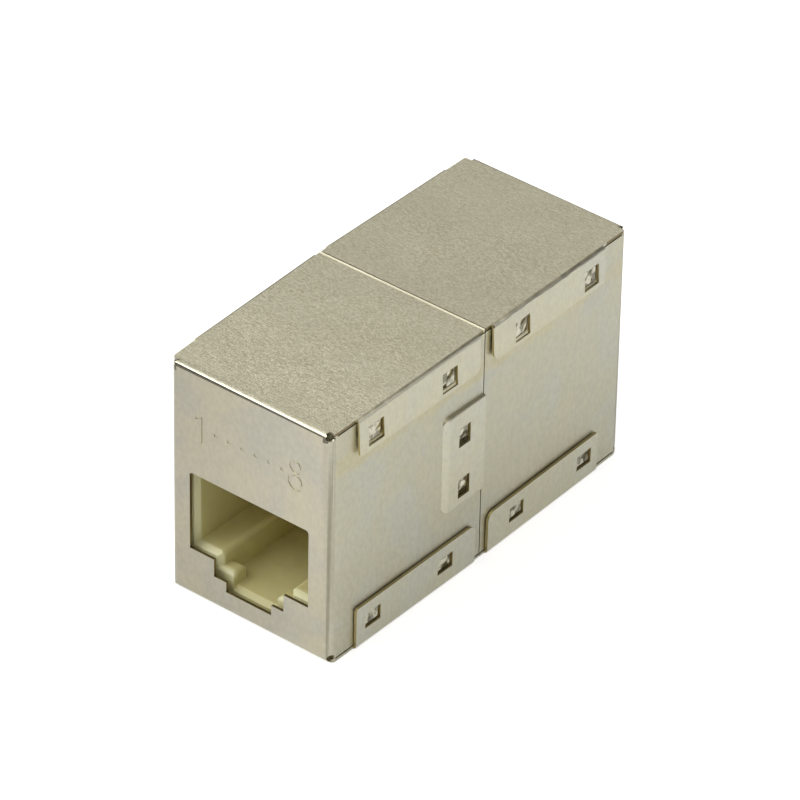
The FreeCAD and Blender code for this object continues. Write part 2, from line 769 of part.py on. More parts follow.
def cut_cavity(body, d):
    """The cavity for the plug with the latch channel in its floor, and the two stops that the
    latch snaps behind."""
    half = d.cavity_width / 2
    channel = d.channel_width / 2
    front = d.housing_front
    cavity = face_sketch(body, "cavity", front)
    outline(cavity, [
        (-half, d.ledge_height),
        (-channel, d.ledge_height),
        (-channel, d.channel_floor),
        (channel, d.channel_floor),
        (channel, d.ledge_height),
        (half, d.ledge_height),
        (half, d.cavity_ceiling),
        (-half, d.cavity_ceiling),
    ])
    pocket(body, cavity, d.cavity_depth)
    round_edges(body, "ledge_edges", d.ledge_round,
                lambda edge: runs_along(edge, Y_AXIS)
                and near(abs(edge.CenterOfMass.x), channel)
                and near(edge.CenterOfMass.z, d.ledge_height))
    wide = half + d.mouth_flare
    wide_channel = channel + d.mouth_flare
    low_ledge = d.ledge_height - d.mouth_flare
    low_floor = d.channel_floor - d.mouth_flare
    high_ceiling = d.cavity_ceiling + d.mouth_flare
    mouth = face_sketch(body, "mouth", front)
    outline(mouth, [
        (-wide, low_ledge),
        (-wide_channel, low_ledge),
        (-wide_channel, low_floor),
        (wide_channel, low_floor),
        (wide_channel, low_ledge),
        (wide, low_ledge),
        (wide, high_ceiling),
        (-wide, high_ceiling),
    ])
    widening = pocket(body, mouth, d.mouth_depth)
    narrowing = arc_tangent(d.mouth_flare / d.mouth_depth)
    widening.TaperAngle = -narrowing.value
    bind(widening, "TaperAngle", -narrowing)
    nubs = face_sketch(body, "nubs", front)
    sunk = d.mouth_flare + as_size(BEYOND) / 2
    for side in (-1, 1):
        rectangle(nubs, side * (channel + sunk), side * (channel - d.nub_width),
                  d.channel_floor - sunk, d.channel_floor + d.nub_height)
    pad(body, nubs, d.nub_depth, reverse=True)
    round_edges(body, "nub_edges", d.nub_round,
                lambda edge: near(edge.CenterOfMass.z, d.channel_floor + d.nub_height)
                and abs(edge.CenterOfMass.x) < channel.value - NEAR
                and edge.BoundBox.YMax < (front + d.nub_depth).value + NEAR)


def cut_carrier_bay(body, d):
    """The bay for the carrier over the cavity, the window between them, the comb for the wire
    tips, the room for the upper tails and the moulding's core."""
    bay = face_sketch(body, "bay", d.bay_start)
    rectangle(bay, -d.bay_width / 2, d.bay_width / 2, d.bay_floor, d.bay_top)
    pocket(body, bay)
    plug_stop = d.housing_front + d.cavity_depth
    window = face_sketch(body, "window", d.bay_start)
    rectangle(window, -d.row_width / 2, d.row_width / 2,
              d.cavity_ceiling - BEYOND, d.bay_floor + BEYOND)
    pocket(body, window, plug_stop - d.bay_start)
    comb = face_sketch(body, "comb", plug_stop)
    for number in range(1, CONTACTS + 1):
        place = d.contact_place(number)
        rectangle(comb, place - d.groove_width / 2, place + d.groove_width / 2,
                  d.comb_low, d.bay_floor + BEYOND)
    pocket(body, comb, d.comb_depth)
    room = face_sketch(body, "tail_room", d.housing_rear - d.tail_room_depth)
    rectangle(room, -d.row_width / 2, d.row_width / 2,
              d.bay_top - BEYOND, d.bay_top + d.tail_room_height)
    pocket(body, room)
    core = face_sketch(body, "core", d.core_start)
    rectangle(core, -d.core_width / 2, d.core_width / 2,
              d.core_floor, d.core_floor + d.core_height)
    pocket(body, core)


def add_pegs(body, d):
    """The two pegs that locate the board, on the right of each housing's rear."""
    pegs = face_sketch(body, "pegs", d.housing_rear - BEYOND)
    for height in (d.peg_low, d.peg_high):
        circle(pegs, d.peg_side, height, d.peg_radius)
    pad(body, pegs, d.peg_length + BEYOND, reverse=True)


def build_housing(doc, d, name):
    """One moulded jack housing."""
    body = new_body(doc, name)
    inset = d.sheet + d.housing_gap
    folded_box(body, d, inset, d.housing_front, as_size(0), d.housing_rear)
    cut_cavity(body, d)
    cut_carrier_bay(body, d)
    add_pegs(body, d)
    return body


# Contact carrier and wires

def build_carrier(doc, d, name):
    """The moulded carrier: a grooved plate with two side rails that reach the board."""
    half = d.bay_width / 2 - d.carrier_gap
    rail_end = d.board_face - d.carrier_gap
    back = d.housing_rear - d.carrier_back_room
    body = new_body(doc, name)
    plan = plan_sketch(body, "plan", d.carrier_base)
    outline(plan, [
        (-half, d.carrier_nose),
        (half, d.carrier_nose),
        (half, rail_end),
        (half - d.rail_width, rail_end),
        (half - d.rail_width, back),
        (-half + d.rail_width, back),
        (-half + d.rail_width, rail_end),
        (-half, rail_end),
    ])
    pad(body, plan, d.carrier_height)
    round_edges(body, "nose", d.carrier_nose_round,
                lambda edge: runs_along(edge, X_AXIS)
                and near(edge.CenterOfMass.y, d.carrier_nose))
    grooves = face_sketch(body, "grooves", d.carrier_nose - BEYOND)
    for number in range(1, CONTACTS + 1):
        place = d.contact_place(number)
        rectangle(grooves, place - d.groove_width / 2, place + d.groove_width / 2,
                  d.carrier_top - d.groove_depth, d.carrier_top + BEYOND)
    pocket(body, grooves)
    return body


def build_contact(doc, d, name, number):
    """One spring wire: its solder tail, its run in the carrier's groove, the turn round the nose
    and the spring that slants back under the carrier into the comb. Even wires have their tail
    in the upper row."""
    place = d.contact_place(number)
    tail_end = d.middle + d.board_thickness / 2 + d.tail_end
    nose = d.carrier_nose - d.wire_nose_gap - d.wire_thickness / 2
    spring = [
        (nose, d.run_height, d.wire_bend),
        (nose, d.wire_turn_height, d.wire_bend),
        (d.wire_tip - d.wire_tip_flat, d.wire_tip_height, d.wire_bend),
        (d.wire_tip, d.wire_tip_height),
    ]
    if number % 2:
        tail_height = d.run_height
        route = [(tail_end, tail_height)]
    else:
        tail_height = d.run_height + d.tail_step
        step = d.board_face - d.tail_bend_room
        route = [
            (tail_end, tail_height),
            (step, tail_height, d.wire_bend),
            (step, d.run_height, d.wire_bend),
        ]
    body = new_body(doc, name)
    path = side_sketch(body, "path", place)
    outline(path, route + spring, closed=False)
    section = face_sketch(body, "section", tail_end)
    rectangle(section, place - d.wire_width / 2, place + d.wire_width / 2,
              tail_height - d.wire_thickness / 2, tail_height + d.wire_thickness / 2)
    wire = body.newObject("PartDesign::AdditivePipe", f"{name}_wire")
    wire.Profile = section
    wire.Spine = path
    return body


# Board

def build_board(doc, d, name):
    """The board between the housings, with two rows of tail holes and four peg holes."""
    body = new_body(doc, name)
    plate = face_sketch(body, "plate", -d.board_thickness / 2)
    rectangle(plate, -d.board_width / 2, d.board_width / 2, d.board_low, d.board_high,
              d.board_corner)
    pad(body, plate, d.board_thickness, reverse=True)
    holes = face_sketch(body, "holes", -d.board_thickness / 2)
    for number in range(1, CONTACTS + 1):
        for height in (d.run_height, d.run_height + d.tail_step):
            circle(holes, d.contact_place(number), height, d.tail_hole_radius)
    for side in (-1, 1):
        for height in (d.peg_low, d.peg_high):
            circle(holes, side * d.peg_side, height, d.peg_radius + d.peg_hole_gap)
    pocket(body, holes)
    return body


# Assembly

def place_half(body, d, rear):
    """Move a piece from its half's own frame to its place in the part."""
    turn = Rotation(Z_AXIS, 180 if rear else 0)
    shift = d.middle if rear else -d.middle
    body.Placement = Placement(Vector(0, shift.value, 0), turn)
    bind(body, "Placement.Base.y", shift)


def build_half(doc, d, prefix, rear):
    """The pieces of one half, in their places."""
    pieces = [
        build_shield(doc, d, f"{prefix}_shield"),
        build_housing(doc, d, f"{prefix}_jack_housing"),
        build_carrier(doc, d, f"{prefix}_contact_carrier"),
    ]
    for number in range(1, CONTACTS + 1):
        pieces.append(build_contact(doc, d, f"{prefix}_contact_{number}", number))
    for piece in pieces:
        place_half(piece, d, rear)
    return pieces


def check(doc, pieces):
    """Stop if a feature failed or a piece is not one valid solid."""
    for item in doc.Objects:
        if "Invalid" in item.State or "Error" in item.State:
            raise RuntimeError(f"{item.Label} failed: {item.State}")
    for piece in pieces:
        shape = piece.Shape
        if shape.isNull() or not shape.isValid() or len(shape.Solids) != 1:
            raise RuntimeError(f"{piece.Label} is not one valid solid")


def main():
    doc = FreeCAD.newDocument("inline_coupler")
    d = Dimensions(doc)
    doc.recompute()
    pieces = build_half(doc, d, "front", rear=False)
    pieces += build_half(doc, d, "rear", rear=True)
    pieces.append(build_board(doc, d, "circuit_board"))
    doc.recompute()
    check(doc, pieces)
    os.makedirs("parts", exist_ok=True)
    for piece in pieces:
        piece.Shape.exportStep(os.path.join("parts", f"{piece.Label}.step"))


main()
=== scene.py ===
"""Looks of the shielded inline coupler: its finishes, the solder on its board, floor, light and
camera. Lengths are in metres in the part's own frame, and in millimetres inside the shaders."""

import json
import math

import bmesh
import bpy
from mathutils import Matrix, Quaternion, Vector


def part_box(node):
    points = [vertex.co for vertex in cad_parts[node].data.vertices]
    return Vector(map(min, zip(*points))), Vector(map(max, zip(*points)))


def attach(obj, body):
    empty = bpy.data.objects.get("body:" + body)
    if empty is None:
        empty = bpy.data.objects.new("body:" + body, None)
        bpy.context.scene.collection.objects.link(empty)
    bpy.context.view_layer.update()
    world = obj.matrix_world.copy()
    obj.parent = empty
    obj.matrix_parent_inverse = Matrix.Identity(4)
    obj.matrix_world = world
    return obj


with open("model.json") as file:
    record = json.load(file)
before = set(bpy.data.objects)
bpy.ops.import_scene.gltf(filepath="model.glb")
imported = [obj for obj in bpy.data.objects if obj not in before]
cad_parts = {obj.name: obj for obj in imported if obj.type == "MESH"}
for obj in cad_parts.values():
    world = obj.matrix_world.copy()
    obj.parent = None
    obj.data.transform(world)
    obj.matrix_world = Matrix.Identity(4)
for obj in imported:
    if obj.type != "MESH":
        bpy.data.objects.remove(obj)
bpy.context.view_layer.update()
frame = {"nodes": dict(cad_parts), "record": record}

MM = 0.001

# The camera: what it looks at, how far off it stands and how it is turned.
CAMERA_AIM = Vector((-0.2, 0.2, 11.4)) * MM
CAMERA_DISTANCE = 492.4 * MM
CAMERA_AZIMUTH = 38.27
CAMERA_ELEVATION = 35.70
CAMERA_ROLL = 1.10
FOCAL_PIXELS = 6185.0
IMAGE_PIXELS = 800.0
SENSOR_WIDTH = 36.0
CLIP_START = 0.01

# The studio: its walls are dim up to one height, and its dome is full from another, both given
# as the sine of their elevation. Levels are of a white that renders as written.
WALL_TOP = 0.30
DOME_FOOT = 0.62
WALL_LEVEL = 0.12
DOME_LEVEL = 0.90
# A dark screen stands behind the part on its right. Its edge and its even middle are given as
# the cosine of the angle from its direction.
SCREEN_AZIMUTH = 150
SCREEN_ELEVATION = 38
SCREEN_EDGE = 0.74
SCREEN_MIDDLE = 0.94
SCREEN_LEVEL = 0.32
# The key lamp: its direction, its distance and width in metres, and how bright its face is.
KEY_AZIMUTH = -40
KEY_ELEVATION = 42
KEY_DISTANCE = 0.6
KEY_SIZE = 0.36
KEY_LEVEL = 2.6
# The floor: half its side in metres, its colour, and how it glows for each kind of ray.
FLOOR_HALF = 0.25
FLOOR_COLOUR = (0.88, 0.88, 0.87, 1)
FLOOR_GLOW = (
    ("Is Camera Ray", 0.62),
    ("Is Glossy Ray", 0.12),
    ("Is Transmission Ray", 0.12),
)

# The edges that are broken: how wide for each finish, in millimetres, from what angle between two
# faces, in degrees, and how near two corners are welded before that.
EDGE_WIDTHS = {
    "plated_steel": 0.035,
    "ivory_plastic": 0.16,
    "carrier_plastic": 0.03,
    "board_laminate": 0.04,
    "gold_wire": 0.03,
}
EDGE_SEGMENTS = 2
SHARP_ANGLE = 35
WELD_REACH = 0.0005

# Places on the part that the finishes follow, in millimetres. First the shells: the port's face,
# the top, half the width at the port, the lean of the panels and the sheet's thickness.
front_low, front_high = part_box("front_shield")
PORT_FACE = -front_low.y / MM
TOP_SKIN = front_high.z / MM
HALF_WIDTH = 8.1
FLARE = 0.19
LEAN = FLARE / PORT_FACE
SHEET = 0.25
# How far back a shell's end at the port reaches, and how far down the zone by its top.
END_ZONE = 1.0
# The side flaps: the gap behind them, and their two ends behind the port's face.
FLAP_GAP = 0.04
FLAP_START = 3.0
FLAP_END = 17.85
# The port's opening: its top, half its width and a height under it. Then how far the masks of its
# rim, and of the top panel's bare edge, reach past the edges that they cover.
PORT_TOP = 12.2
PORT_HALF = 6.025
PORT_FOOT = 1.0
RIM_SLACK = 0.02
RIM_REACH = 0.06
BARE_SLACK = 0.01
# The lanced bumps: the most that their faces stand off the panel, in the flaps and in the
# pocket's windows, and where both kinds lie.
BUMP_SKIN = 0.24
CATCH_SKIN = 0.28
WINDOW_FOOT = 4.0
FOLD_HEIGHT = 0.6
CATCH_REACH = 4.0
CATCH_NEAR = 1.85
CATCH_FAR = 3.45
# The front half's turned-up lip at the seam: its two sides and how far it rises.
SEAM_NEAR = 0.04
SEAM_FAR = 0.26
SEAM_RISE = 0.12
# The stain under the upper flaps, from the top down: its start, where it is full, where its
# ragged foot starts to fade and where it ends, and how far that foot wanders.
STAIN_START = 2.2
STAIN_FULL = 3.4
STAIN_FADE = 3.1
STAIN_END = 3.9
STAIN_WANDER = 2.0
# The painted light that makes the moulding's mouth paler: where behind the port's face it starts
# to fade and where it ends, and the latch channel's floor, over which it comes in.
MOUTH_START = 0.9
MOUTH_END = 1.6
CHANNEL_FLOOR = 2.45
CHANNEL_RISE = 1.0

# Which way the steel's surface looks, as the share of its normal along an axis. Ranges over which
# a panel, a tilt or a fold comes in; where there are four numbers, it goes out over the last two.
FACING = (0.75, 0.97)
FACING_SIDE = (0.93, 0.99)
TILT = (0.05, 0.25)
SIDE_FOLD = (0.12, 0.30, 0.93, 0.99)
WORN_FOLD = (0.45, 0.75)
CREASE = (0.60, 0.70, 0.78, 0.88)
UNDER_EDGE = (0.70, 0.80, 0.98, 0.996)
UNDER_EDGE_TILT = (0.05, 0.12)
# Least shares at which a face is a flap's cut end, a flap's free edge, a bare edge of the top
# panel or the face of a bump, and the share under which it is the port's rim.
END_CUT = 0.7
FREE_CUT = 0.6
BARE_CUT = 0.5
BUMP_FACE = 0.3
RIM_CUT = 0.6

# The range that a noise's values mostly keep to, and the tighter one over which a change shows.
NOISE_SWING = (0.3, 0.7)
NOISE_CORE = (0.35, 0.65)
FLECK_RANGE = (0.33, 0.67)
# Ranges of the patches over which stains stand alone, and over which a stain thickens.
STAIN_ALONE = (0.55, 0.75)
STAIN_THICKENS = (0.30, 0.60)
# Stretches of the part over which the steel's looks change, in millimetres: four along Y towards
# the port, one down the part, one from -X to +X and one out from the middle to either side.
OVER_SEAM = (1.0, -1.0)
TO_FRONT_HALF = (4.0, -4.0)
TO_LIVELY_END = (0.0, -15.0)
TO_LIGHT_END = (-2.0, -16.0)
TO_FOOT = (14.0, 1.0)
ACROSS_PORT = (-8.0, 8.0)
OFF_MIDDLE = (0.0, 9.0)
# How light the steel is against its colour, as a share of it: the swing of its flecks, how much
# of that is left where they are calm and how much there is by the port, how much of a change on
# the front half the rear half has, the swing of the mottle, and what is added by the port, as
# painted shade low on the front half, on the flaps, and as painted shade and light across the
# port's face.
FLECK_SWING = 0.37
CALM_SHARE = 0.65
PORT_SHARE = 1.1
REAR_SHARE = 0.35
MOTTLE_SWING = 0.045
PORT_LIFT = 0.05
LOW_SHADE = -0.07
FLAP_LIFT = 0.10
PORT_LEFT = -0.06
PORT_RIGHT = 0.14
# The steel's roughness: its satin's range, the swing of its fine grain, and how much smoother the
# bends and bumps are.
SATIN_LOW = 0.40
SATIN_HIGH = 0.50
GRAIN_SWING = 0.03
POLISH = 0.22
# The board: the range over which a face looks along Y, and that in which a wave is a track.
BOARD_FACING = (0.6, 0.9)
TRACK_RANGE = (0.62, 0.72)

# Solder round the wires' tails, in millimetres.
CONTACTS = 8
TAIL_HALF = 0.125
SOLDER_FOOT = 0.52
SOLDER_TIP = 0.2
SOLDER_HEIGHT = 0.3
SOLDER_RINGS = 6
SOLDER_SIDES = 24


# Colours

def linear(red, green, blue):
    """A colour given as it looks on the screen, 0 to 255, as the shader's linear values."""
    def channel(value):
        value /= 255
        return value / 12.92 if value <= 0.04045 else ((value + 0.055) / 1.055) ** 2.4
    return (channel(red), channel(green), channel(blue), 1.0)


# Colours between two tones: the range of the value that they follow, and the tone at each end.
PANEL = ((0.35, 0.68), linear(222, 218, 194), linear(224, 222, 206))
# The port's face: pinker, and painted darker than the other panels as shade.
SHADED_PORT_PANEL = (NOISE_CORE, linear(207, 200, 178), linear(203, 199, 184))
BRUSHED = ((0.40, 0.64), linear(208, 201, 171), linear(216, 212, 190))
# The bumps' faces: blotches of painted shade and painted highlight.
BUMP_SHADE_AND_HIGHLIGHT = ((0.42, 0.58), linear(128, 123, 104), linear(240, 236, 214))
# The side folds: painted shade where they look up and painted highlight where they look sideways.
FOLD_SHADE_AND_HIGHLIGHT = ((0.50, 0.85), linear(186, 177, 150), linear(244, 240, 218))
IVORY = (NOISE_SWING, linear(214, 206, 146), linear(222, 214, 158))
CARRIER = (NOISE_SWING, linear(210, 201, 138), linear(218, 210, 152))
GOLD = ((0.40, 0.70), linear(236, 196, 106), linear(226, 178, 92))
TIN = (NOISE_CORE, linear(176, 178, 180), linear(206, 207, 206))
# Plain colours of the steel, the moulding and the board.
# Painted shade on the port's upright bends, and a darker painted line of shade in them.
CORNER_SHADE = linear(196, 190, 168)
CREASE_SHADE = linear(176, 170, 149)
EDGE_SHADE = linear(92, 86, 74)
STAIN = linear(226, 217, 178)
FLAP_CUT = linear(206, 191, 142)
BARE_EDGE = linear(150, 138, 106)
RIM = linear(146, 134, 98)
SEAM_GLINT = linear(226, 221, 192)
# Painted light: the paler colour round the moulding's mouth.
MOUTH_LIGHT = linear(250, 246, 198)
LAMINATE = linear(168, 160, 112)
SOLDER_MASK = linear(22, 92, 48)
TRACK = linear(44, 128, 66)
WEAVE = linear(18, 76, 42)


# Shader graphs

class Nodes:
    """A node tree, with short calls for the nodes that the finishes and the sky share."""

    def __init__(self, tree):
        self.tree = tree

    def node(self, kind, **settings):
        """A new node of a kind, with its settings."""
        node = self.tree.nodes.new(kind)
        for name, value in settings.items():
            setattr(node, name, value)
        return node

    def join(self, source, target):
        """Link an output to an input, or set the input to a plain value."""
        if isinstance(source, bpy.types.NodeSocket):
            self.tree.links.new(source, target)
        else:
            target.default_value = source

    def math(self, operation, first, second=0.0, third=0.0):
        node = self.node("ShaderNodeMath", operation=operation)
        for socket, value in zip(node.inputs, (first, second, third)):
            self.join(value, socket)
        return node.outputs[0]

    def absolute(self, value):
        return self.math("ABSOLUTE", value)

    def above(self, value, limit):
        """The mask of where a value is over a limit."""
        return self.math("GREATER_THAN", value, limit)

    def below(self, value, limit):
        """The mask of where a value is under a limit."""
        return self.math("LESS_THAN", value, limit)

    def between(self, value, low, high):
        """The mask of where a value is between two limits."""
        return self.all_of(self.above(value, low), self.below(value, high))

    def outside(self, mask, share=1.0):
        """A factor that is 1 outside a mask and falls by a share inside it."""
        return self.math("MULTIPLY_ADD", mask, -share, 1.0)

    def all_of(self, *masks):
        """The product of several masks."""
        result = masks[0]
        for mask in masks[1:]:
            result = self.math("MULTIPLY", result, mask)
        return result

    def any_of(self, *masks):
        """The largest of several masks."""
        result = masks[0]
        for mask in masks[1:]:
            result = self.math("MAXIMUM", result, mask)
        return result

    def ramp(self, value, low, high, start=0.0, end=1.0):
        """A value carried smoothly from one range to another."""
        node = self.node("ShaderNodeMapRange", interpolation_type="SMOOTHSTEP")
        for socket, amount in zip(node.inputs, (value, low, high, start, end)):
            self.join(amount, socket)
        return node.outputs[0]

    def hill(self, value, foot, top, far_top, far_foot):
        """The mask that comes in over one range of a value and goes out over a later one."""
        return self.all_of(self.ramp(value, foot, top), self.ramp(value, far_foot, far_top))

    def mix(self, factor, first, second):
        """Two colours mixed by a factor. Names repeat among a mix node's sockets, so they are
        reached by number."""
        node = self.node("ShaderNodeMix", data_type="RGBA")
        for number, source in ((0, factor), (6, first), (7, second)):
            self.join(source, node.inputs[number])
        return node.outputs[2]

    def mix_value(self, factor, first, second):
        """Two plain values mixed by a factor."""
        node = self.node("ShaderNodeMix")
        for number, source in ((0, factor), (2, first), (3, second)):
            self.join(source, node.inputs[number])
        return node.outputs[0]

    def split(self, vector):
        """A vector's three shares."""
        node = self.node("ShaderNodeSeparateXYZ")
        self.join(vector, node.inputs[0])
        return node.outputs

    def scale(self, vector, amount):
        """A vector or a colour times a plain value."""
        node = self.node("ShaderNodeVectorMath", operation="SCALE")
        self.join(vector, node.inputs[0])
        self.join(amount, node.inputs["Scale"])
        return node.outputs[0]


class Material(Nodes):
    """A new material, with nothing but its output in its tree."""

    def __init__(self, name):
        self.material = bpy.data.materials.new(name)
        self.material.use_nodes = True
        super().__init__(self.material.node_tree)
        self.tree.nodes.clear()
        self.surface = self.node("ShaderNodeOutputMaterial").inputs["Surface"]


class Finish(Material):
    """A finish of the part: one shader, and over the part a point's place in millimetres and its
    surface's normal, both in the part's own frame."""

    def __init__(self, name):
        super().__init__(name)
        self.shader = self.node("ShaderNodeBsdfPrincipled")
        self.join(self.shader.outputs["BSDF"], self.surface)
        coordinates = self.node("ShaderNodeTexCoord")
        self.place = self.scale(coordinates.outputs["Object"], 1 / MM)
        self.normal = coordinates.outputs["Normal"]

    def set(self, name, source):
        """Give one of the shader's own sockets a value or a link."""
        self.join(source, self.shader.inputs[name])

    def noise(self, scale, detail, roughness, distortion=0.0, squeeze=None):
        """Noise over the part, squeezed along its three axes where that is asked for."""
        place = self.place
        if squeeze:
            squeezed = self.node("ShaderNodeVectorMath", operation="MULTIPLY")
            self.join(place, squeezed.inputs[0])
            self.join(squeeze, squeezed.inputs[1])
            place = squeezed.outputs[0]
        texture = self.node("ShaderNodeTexNoise")
        for name, source in (("Vector", place), ("Scale", scale), ("Detail", detail),
                             ("Roughness", roughness), ("Distortion", distortion)):
            self.join(source, texture.inputs[name])
        return texture.outputs["Fac"]

    def bump(self, height, strength, distance, under=None):
        """A normal bumped by a height, distance in millimetres, over another normal."""
        node = self.node("ShaderNodeBump")
        self.join(height, node.inputs["Height"])
        self.join(strength, node.inputs["Strength"])
        self.join(distance * MM, node.inputs["Distance"])
        if under is not None:
            self.join(under, node.inputs["Normal"])
        return node.outputs["Normal"]

    def two_toned(self, value, colour):
        """A colour that follows a value from one tone to another over a range."""
        span, first, second = colour
        return self.mix(self.ramp(value, *span), first, second)

    def paint(self, base, layers):
        """A colour with layers over it, each given as its mask, its strength and its colour."""
        for mask, strength, colour in layers:
            cover = mask if strength == 1 else self.math("MULTIPLY", mask, strength)
            base = self.mix(cover, base, colour)
        return base


# Finishes

class PlatedSteel(Finish):
    """Tin plate over folded steel: brushed flecks on the top and bottom, a cloudy satin on the
    other panels, yellow stains by the folds and bare cut edges."""

    def __init__(self):
        super().__init__("plated_steel")
        self.measure_place()
        self.measure_facing()
        self.mark_cut_edges()
        self.mark_folds()
        self.mark_bumps()
        self.lay_noises()
        self.set("Base Color", self.colour())
        self.set("Metallic", self.outside(self.worn_fold, 0.7))
        self.set("Roughness", self.roughness())
        self.set("Normal", self.relief())

    def measure_place(self):
        """How far a point is from the middle, the seam, mid height and the port's face, and how
        far outside the side panel, with masks for the top panel's zone and the port's end."""
        self.x, self.y, self.z = self.split(self.place)
        self.off_middle = self.absolute(self.x)
        self.off_seam = self.absolute(self.y)
        self.off_mid_height = self.absolute(self.math("SUBTRACT", self.z, TOP_SKIN / 2))
        self.depth = self.math("SUBTRACT", PORT_FACE, self.off_seam)
        side_panel = self.math("MULTIPLY_ADD", self.depth, LEAN, HALF_WIDTH)
        self.skin = self.math("SUBTRACT", self.off_middle, side_panel)
        self.by_top = self.above(self.z, TOP_SKIN - END_ZONE)
        self.by_port = self.below(self.depth, END_ZONE)

    def measure_facing(self):
        """Which way a point's surface looks, and whether it is on a panel or on a bend."""
        normal_x, normal_y, self.normal_z = self.split(self.normal)
        self.sideways = self.absolute(normal_x)
        self.lengthways = self.absolute(normal_y)
        upright = self.absolute(self.normal_z)
        self.flat = self.ramp(upright, *FACING)
        self.facing_port = self.ramp(self.lengthways, *FACING)
        facing_side = self.ramp(self.sideways, *FACING_SIDE)
        self.bend = self.outside(self.any_of(self.flat, self.facing_port, facing_side))
        self.tilted = self.ramp(upright, *TILT)

    def mark_cut_edges(self):
        """The flaps' ends and free edges, the top panel's edge where no flap hides it, the port's
        rim and the lip at the seam."""
        self.proud = self.above(self.skin, FLAP_GAP / 2)
        end_cut = self.above(self.lengthways, END_CUT)
        upper_half = self.above(self.z, TOP_SKIN / 2)
        inward = self.math("MULTIPLY", self.normal_z, self.outside(upper_half, 2.0))
        free_cut = self.above(inward, FREE_CUT)
        self.flap_cut = self.all_of(self.proud, self.any_of(end_cut, free_cut))
        roof = self.math("MULTIPLY_ADD", self.depth, LEAN, TOP_SKIN - FLARE)
        self.bare_edge = self.all_of(
            self.above(self.sideways, BARE_CUT),
            self.above(self.z, self.math("SUBTRACT", roof, SHEET + BARE_SLACK)),
            self.any_of(self.below(self.depth, FLAP_START), self.above(self.depth, FLAP_END)),
        )
        self.rim = self.all_of(
            self.between(self.depth, RIM_SLACK, SHEET + RIM_SLACK),
            self.below(self.off_middle, PORT_HALF + RIM_REACH),
            self.between(self.z, PORT_FOOT, PORT_TOP + RIM_REACH),
            self.below(self.lengthways, RIM_CUT),
        )
        self.seam = self.all_of(self.between(self.y, -SEAM_FAR, -SEAM_NEAR), self.by_top)

    def mark_folds(self):
        """The polished bends; the folds along the sides, which carry painted shade and highlight
        and are brightest where they are worn; the port's upright corners, painted darker as shade
        with a painted dark line of shade in them; and the painted dark line of shade under the top
        panel."""
        self.polished_bend = self.all_of(self.bend, self.tilted)
        self.side_fold = self.all_of(self.hill(self.sideways, *SIDE_FOLD), self.tilted,
                                     self.above(self.depth, END_ZONE))
        self.worn_fold = self.all_of(self.side_fold, self.ramp(self.sideways, *WORN_FOLD),
                                     self.ramp(self.y, *OVER_SEAM, start=REAR_SHARE))
        # Where painted shade darkens the port's upright bends, and the painted dark line in them.
        self.shaded_corner = self.all_of(self.bend, self.outside(self.tilted), self.by_port)
        self.crease_shade_line = self.all_of(self.shaded_corner, self.hill(self.sideways, *CREASE))
        # Where a dark line of shade is painted under the top panel's front bend.
        self.under_edge_shade = self.all_of(self.hill(self.lengthways, *UNDER_EDGE),
                                      self.ramp(self.normal_z, *UNDER_EDGE_TILT),
                                      self.by_top, self.by_port)

    def mark_bumps(self):
        """The faces of the lanced bumps, in the flaps' windows and in the pocket's."""
        half_height = TOP_SKIN / 2
        in_flap_window = self.all_of(
            self.between(self.off_mid_height, half_height - WINDOW_FOOT,
                         half_height - FOLD_HEIGHT),
            self.below(self.skin, BUMP_SKIN),
        )
        in_catch = self.all_of(
            self.below(self.off_mid_height, CATCH_REACH),
            self.between(self.off_seam, CATCH_NEAR, CATCH_FAR),
            self.below(self.skin, CATCH_SKIN),
        )
        self.bump_face = self.all_of(self.proud, self.any_of(in_flap_window, in_catch),
                                     self.above(self.sideways, BUMP_FACE))

    def lay_noises(self):
        """The noises that more than one look of the steel follows."""
        scratches = self.noise(scale=2.1, detail=2.0, roughness=0.7, distortion=0.2,
                               squeeze=(1.2, 7.5, 1.0))
        specks = self.noise(scale=2.4, detail=1.0, roughness=0.7, squeeze=(2.6, 8.0, 1.0))
        self.flecks = self.mix_value(0.5, scratches, specks)
        self.fine = self.noise(scale=9.0, detail=2.0, roughness=0.6)
        self.clouds = self.noise(scale=0.16, detail=3.0, roughness=0.55, distortion=0.8)

    def colour(self):
        """A warm grey plate, stained, pinker on the port's face and painted darker there as shade,
        with painted shade on the port's upright bends and under the top panel's front bend, its
        tone varied by flecks and by mottle; over that painted shade and highlight on the bumps and
        the side folds, the cut edges and a painted highlight on the seam's lip."""
        bump_shade_noise = self.noise(scale=1.5, detail=2.0, roughness=0.5)
        seam_glint = self.all_of(self.seam, self.ramp(self.off_middle, *OFF_MIDDLE, start=0.6))
        plate = self.paint(self.two_toned(self.clouds, PANEL), (
            # Painted shade: the port's face darker than the other panels.
            (self.facing_port, 1, self.two_toned(self.clouds, SHADED_PORT_PANEL)),
            # Painted shade on the port's upright bends and a painted dark line of shade in them.
            (self.shaded_corner, 0.7, CORNER_SHADE),
            (self.crease_shade_line, 1, CREASE_SHADE),
            # Painted shade: a dark line under the top panel's front bend.
            (self.under_edge_shade, 0.8, EDGE_SHADE),
            (self.flat, 1, self.two_toned(self.flecks, BRUSHED)),
            (self.stain(), 0.7, STAIN),
        ))
        return self.paint(self.scale(plate, self.tone()), (
            # Painted shade and highlight in blotches over the bumps' faces.
            (self.bump_face, 0.8, self.two_toned(bump_shade_noise, BUMP_SHADE_AND_HIGHLIGHT)),
            # Painted shade and highlight along the side folds, following which way they look.
            (self.side_fold, 0.8, self.two_toned(self.sideways, FOLD_SHADE_AND_HIGHLIGHT)),
            (self.flap_cut, 1, FLAP_CUT),
            (self.bare_edge, 1, BARE_EDGE),
            (self.rim, 1, RIM),
            (seam_glint, 1, SEAM_GLINT),
        ))

